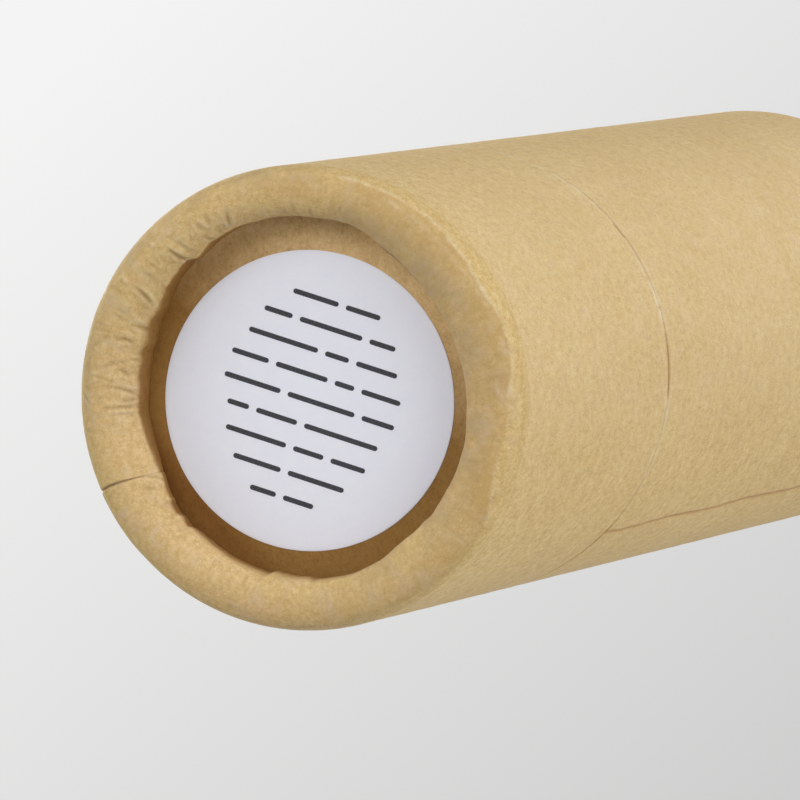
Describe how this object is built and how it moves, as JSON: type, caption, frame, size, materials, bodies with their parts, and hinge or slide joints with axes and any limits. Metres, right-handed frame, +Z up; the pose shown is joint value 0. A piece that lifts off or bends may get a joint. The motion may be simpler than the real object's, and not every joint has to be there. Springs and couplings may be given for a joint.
{
  "type": "twist-up lip balm stick",
  "caption": "Twist-up lip balm stick in kraft paper tubes: rolled-rim base with a round end label, paper neck, threaded lift and a slip-on cap.",
  "frame": {"origin": "centre of the plane of the base's rolled rim, on which the stick stands", "axes": "+Z up along the tube's axis, from the base to the cap; -Y is the side that the picture's camera looks from, below the base"},
  "size_m": [0.02, 0.02, 0.076],
  "materials": {
    "kraft_facing": "matt kraft paper with fine fibres",
    "kraft_board": "matt raw board",
    "kraft_disc": "matt kraft-faced board",
    "lining_paper": "smooth greaseproof paper",
    "label_paper": "satin coated paper",
    "white_plastic": "moulded satin",
    "balm": "soft waxy sheen"
  },
  "bodies": {
    "base": {"base_tube": "kraft_board", "base_wrap": "kraft_facing", "base_liner": "lining_paper", "base_disc": "kraft_disc", "base_label": "label_paper", "drive_screw": "white_plastic"},
    "barrel": {"barrel": "white_plastic", "neck_sleeve": "kraft_facing"},
    "elevator": {"elevator": "white_plastic", "balm": "balm"},
    "cap": {"cap_tube": "kraft_board", "cap_wrap": "kraft_facing", "cap_liner": "lining_paper", "cap_disc": "kraft_disc"}
  },
  "joints": [
    {"name": "barrel_twist", "type": "hinge", "parent": "base", "child": "barrel", "pos_m": [0, 0, 0.00587], "axis": [0, 0, 1], "range_deg": [0, 2880.1]},
    {"name": "elevator_slide", "type": "slide", "parent": "barrel", "child": "elevator", "axis": [0, 0, 1], "range_m": [0, 0.026]},
    {"name": "cap_slide", "type": "slide", "parent": "barrel", "child": "cap", "axis": [0, 0, 1], "range_m": [0, 0.052]}
  ],
  "couplings": [
    {"joint": "barrel_twist", "follows": "elevator_slide", "rad_per_m": 1933.3}
  ]
}
